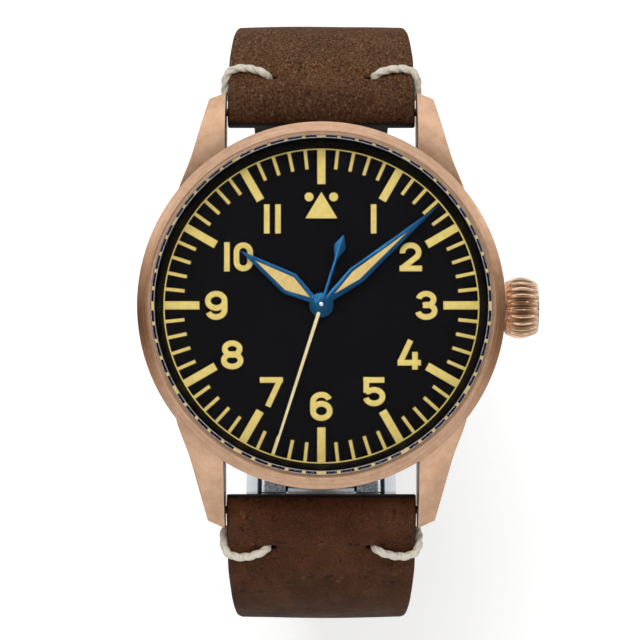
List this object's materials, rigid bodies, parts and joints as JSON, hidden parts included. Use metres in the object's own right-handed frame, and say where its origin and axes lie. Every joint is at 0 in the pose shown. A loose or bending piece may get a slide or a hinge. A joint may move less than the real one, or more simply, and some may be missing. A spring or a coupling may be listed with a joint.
{
  "type": "pilot watch",
  "caption": "Pilot wristwatch: round bronze case, black dial with cream numerals, blued hands, fluted crown, brown leather strap and a steel folding clasp.",
  "frame": {"origin": "centre of the case back's outer flat face", "axes": "+Z out through the crystal, +Y towards twelve, +X towards the crown at three"},
  "size_m": [0.0411, 0.066, 0.0585],
  "materials": {
    "bronze": "brushed bronze",
    "crystal": "polished",
    "rubber": "matte",
    "black_ring": "satin black",
    "dial_black": "matte black",
    "lume": "matte",
    "blued_steel": "blued, polished",
    "back_steel": "brushed",
    "steel": "brushed",
    "plated_brass": "plated, brushed",
    "movement_ring": "moulded",
    "gear_brass": "polished",
    "spring_steel": "polished",
    "ruby": "polished",
    "leather_upper": "suede grain",
    "leather_lower": "smooth waxed",
    "strap_lining": "smooth black",
    "waxed_thread": "waxed"
  },
  "bodies": {
    "case": {"case_middle": "bronze", "bezel": "bronze", "crystal": "crystal", "crystal_gasket": "rubber", "inner_flange_ring": "black_ring", "dial": "dial_black", "minute_track": "lume", "hour_markers": "lume", "numerals": "lume", "movement_ring": "movement_ring", "case_back": "back_steel", "case_back_gasket": "rubber", "crown_tube": "steel", "mainplate": "plated_brass", "barrel_bridge": "plated_brass", "train_bridge": "plated_brass", "balance_bridge": "plated_brass", "jewels": "ruby", "bridge_screws": "steel", "rotor_bearing": "steel", "hairspring": "spring_steel", "spring_bars": "steel"},
    "rotor": {"rotor": "plated_brass"},
    "seconds": {"second_hand": "blued_steel", "fourth_wheel": "gear_brass"},
    "minutes": {"minute_hand": "blued_steel", "minute_hand_lume": "lume", "cannon_pinion": "gear_brass", "centre_wheel": "gear_brass"},
    "hours": {"hour_hand": "blued_steel", "hour_hand_lume": "lume", "hour_wheel": "gear_brass"},
    "minute_wheel": {"minute_wheel": "gear_brass"},
    "third_wheel": {"third_wheel": "gear_brass"},
    "barrel": {"mainspring_barrel": "gear_brass", "mainspring": "spring_steel"},
    "escape_wheel": {"escape_wheel": "gear_brass"},
    "pallet_fork": {"pallet_fork": "spring_steel"},
    "balance": {"balance_wheel": "gear_brass"},
    "winding": {"sliding_pinion": "steel", "winding_pinion": "steel"},
    "crown": {"crown": "bronze", "crown_gasket": "rubber", "winding_stem": "steel"},
    "upper_strap": {"upper_strap": "leather_upper", "upper_strap_lining": "strap_lining", "upper_strap_stitches": "waxed_thread"},
    "upper_wing": {"upper_clasp_wing": "steel", "upper_clasp_bar": "steel"},
    "clasp_base": {"clasp_base": "steel", "clasp_hinge_pins": "steel", "clasp_lock_housing": "steel", "clasp_button_springs": "steel"},
    "button_left": {"clasp_button_left": "steel"},
    "button_right": {"clasp_button_right": "steel"},
    "lower_wing": {"lower_clasp_wing": "steel"},
    "lower_strap": {"lower_strap": "leather_lower", "lower_strap_lining": "strap_lining", "lower_strap_stitches": "waxed_thread", "lower_clasp_bar": "steel"}
  },
  "joints": [
    {"name": "seconds_spin", "type": "hinge", "parent": "case", "child": "seconds", "pos_m": [0, 0, 0], "axis": [0, 0, -1], "continuous": true},
    {"name": "minutes_spin", "type": "hinge", "parent": "case", "child": "minutes", "pos_m": [0, 0, 0], "axis": [0, 0, -1], "continuous": true},
    {"name": "hours_spin", "type": "hinge", "parent": "case", "child": "hours", "pos_m": [0, 0, 0], "axis": [0, 0, -1], "continuous": true},
    {"name": "minute_wheel_spin", "type": "hinge", "parent": "case", "child": "minute_wheel", "pos_m": [-0.0015, 0.0026, 0], "axis": [0, 0, -1], "continuous": true},
    {"name": "third_wheel_spin", "type": "hinge", "parent": "case", "child": "third_wheel", "pos_m": [-0.00318, -0.00318, 0], "axis": [0, 0, -1], "continuous": true},
    {"name": "barrel_spin", "type": "hinge", "parent": "case", "child": "barrel", "pos_m": [0.00124, 0.00464, 0], "axis": [0, 0, -1], "continuous": true},
    {"name": "escape_wheel_spin", "type": "hinge", "parent": "case", "child": "escape_wheel", "pos_m": [0.00423, -0.00154, 0], "axis": [0, 0, -1], "continuous": true},
    {"name": "pallet_fork_rock", "type": "hinge", "parent": "case", "child": "pallet_fork", "pos_m": [0.00403, -0.00428, 0], "axis": [0, 0, 1], "range_deg": [-4, 4]},
    {"name": "balance_swing", "type": "hinge", "parent": "case", "child": "balance", "pos_m": [0.00385, -0.00667, 0], "axis": [0, 0, 1], "range_deg": [-135, 135], "stiffness_Nm_per_rad": 0.0000001},
    {"name": "rotor_spin", "type": "hinge", "parent": "case", "child": "rotor", "pos_m": [0, 0, 0], "axis": [0, 0, 1], "continuous": true},
    {"name": "crown_turn", "type": "hinge", "parent": "case", "child": "winding", "pos_m": [0, 0, 0.0054], "axis": [1, 0, 0], "continuous": true},
    {"name": "crown_pull", "type": "slide", "parent": "winding", "child": "crown", "axis": [1, 0, 0], "range_m": [0, 0.001]},
    {"name": "upper_strap_swing", "type": "hinge", "parent": "case", "child": "upper_strap", "pos_m": [0, 0.0209, 0.0024], "axis": [1, 0, 0], "range_deg": [0, 26]},
    {"name": "lower_strap_swing", "type": "hinge", "parent": "case", "child": "lower_strap", "pos_m": [0, -0.0209, 0.0024], "axis": [-1, 0, 0], "range_deg": [0, 26]},
    {"name": "upper_wing_fold", "type": "hinge", "parent": "upper_strap", "child": "upper_wing", "pos_m": [0, 0.0045, -0.04557], "axis": [1, 0, 0], "range_deg": [0, 57.2]},
    {"name": "clasp_base_fold", "type": "hinge", "parent": "upper_wing", "child": "clasp_base", "pos_m": [0, 0.0195, -0.03637], "axis": [-1, 0, 0], "range_deg": [0, 83.2]},
    {"name": "lower_wing_fold", "type": "hinge", "parent": "clasp_base", "child": "lower_wing", "pos_m": [0, -0.0195, -0.03637], "axis": [-1, 0, 0], "range_deg": [0, 83.2]},
    {"name": "button_left_press", "type": "slide", "parent": "clasp_base", "child": "button_left", "axis": [1, 0, 0], "range_m": [0, 0.0005], "stiffness_N_per_m": 300, "springref_m": -0.0005},
    {"name": "button_right_press", "type": "slide", "parent": "clasp_base", "child": "button_right", "axis": [-1, 0, 0], "range_m": [0, 0.0005], "stiffness_N_per_m": 300, "springref_m": -0.0005}
  ],
  "couplings": [
    {"joint": "minutes_spin", "follows": "seconds_spin", "ratio": 0.016667},
    {"joint": "hours_spin", "follows": "seconds_spin", "ratio": 0.0013889},
    {"joint": "minute_wheel_spin", "follows": "seconds_spin", "ratio": -0.0055556},
    {"joint": "third_wheel_spin", "follows": "seconds_spin", "ratio": -0.13333},
    {"joint": "barrel_spin", "follows": "seconds_spin", "ratio": -0.002381},
    {"joint": "escape_wheel_spin", "follows": "seconds_spin", "ratio": -10.25},
    {"joint": "lower_strap_swing", "follows": "upper_strap_swing", "ratio": 1},
    {"joint": "upper_wing_fold", "follows": "upper_strap_swing", "ratio": 2.2},
    {"joint": "clasp_base_fold", "follows": "upper_strap_swing", "ratio": 3.2},
    {"joint": "lower_wing_fold", "follows": "upper_strap_swing", "ratio": 3.2}
  ]
}
